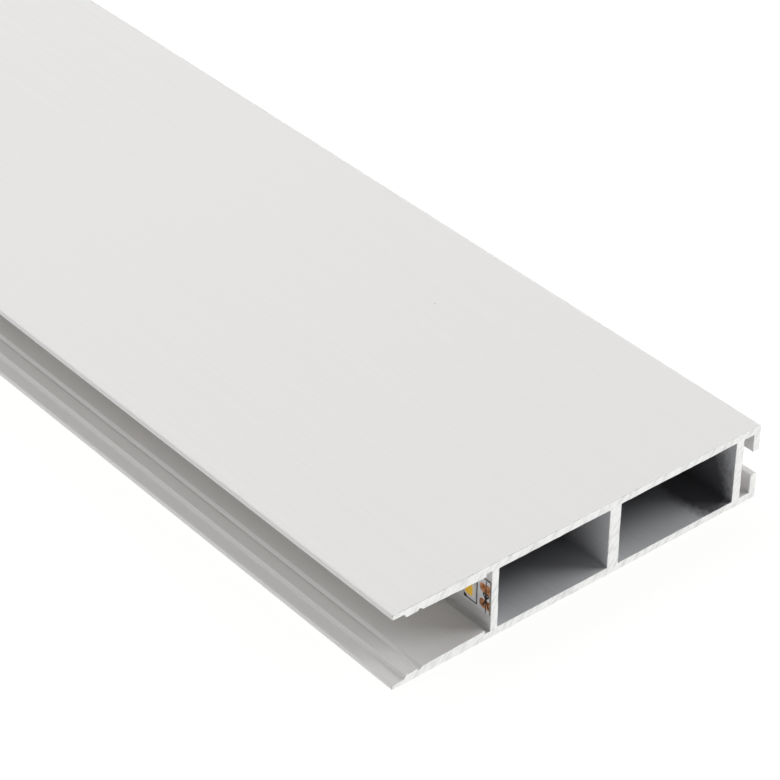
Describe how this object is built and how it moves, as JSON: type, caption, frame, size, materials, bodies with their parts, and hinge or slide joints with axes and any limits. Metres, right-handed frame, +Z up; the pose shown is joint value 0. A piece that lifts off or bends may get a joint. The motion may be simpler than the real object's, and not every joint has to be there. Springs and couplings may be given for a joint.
{
  "type": "aluminium extrusion profile",
  "caption": "Wide flat hollow aluminium profile bar with a snap-lipped lighting channel along its front edge holding a light tape, closed chambers behind it and a hooked rear slot.",
  "frame": {"origin": "middle of the underside, halfway along the bar", "axes": "+X across the profile from the channel's mouth to the rear slot, +Y along the bar, +Z up through its thickness"},
  "size_m": [0.0964, 1, 0.018],
  "materials": {
    "anodised_aluminium": "satin silver anodised, sawn bare at the ends",
    "tape": "white solder mask on flexible film",
    "lamp_housing": "moulded white",
    "phosphor": "cast yellow silicone",
    "resistor": "black glazed chip"
  },
  "bodies": {
    "root": {"profile": "anodised_aluminium", "light_tape": "tape", "lamp_housings": "lamp_housing", "lamp_phosphors": "phosphor", "chip_resistors": "resistor"}
  },
  "joints": []
}
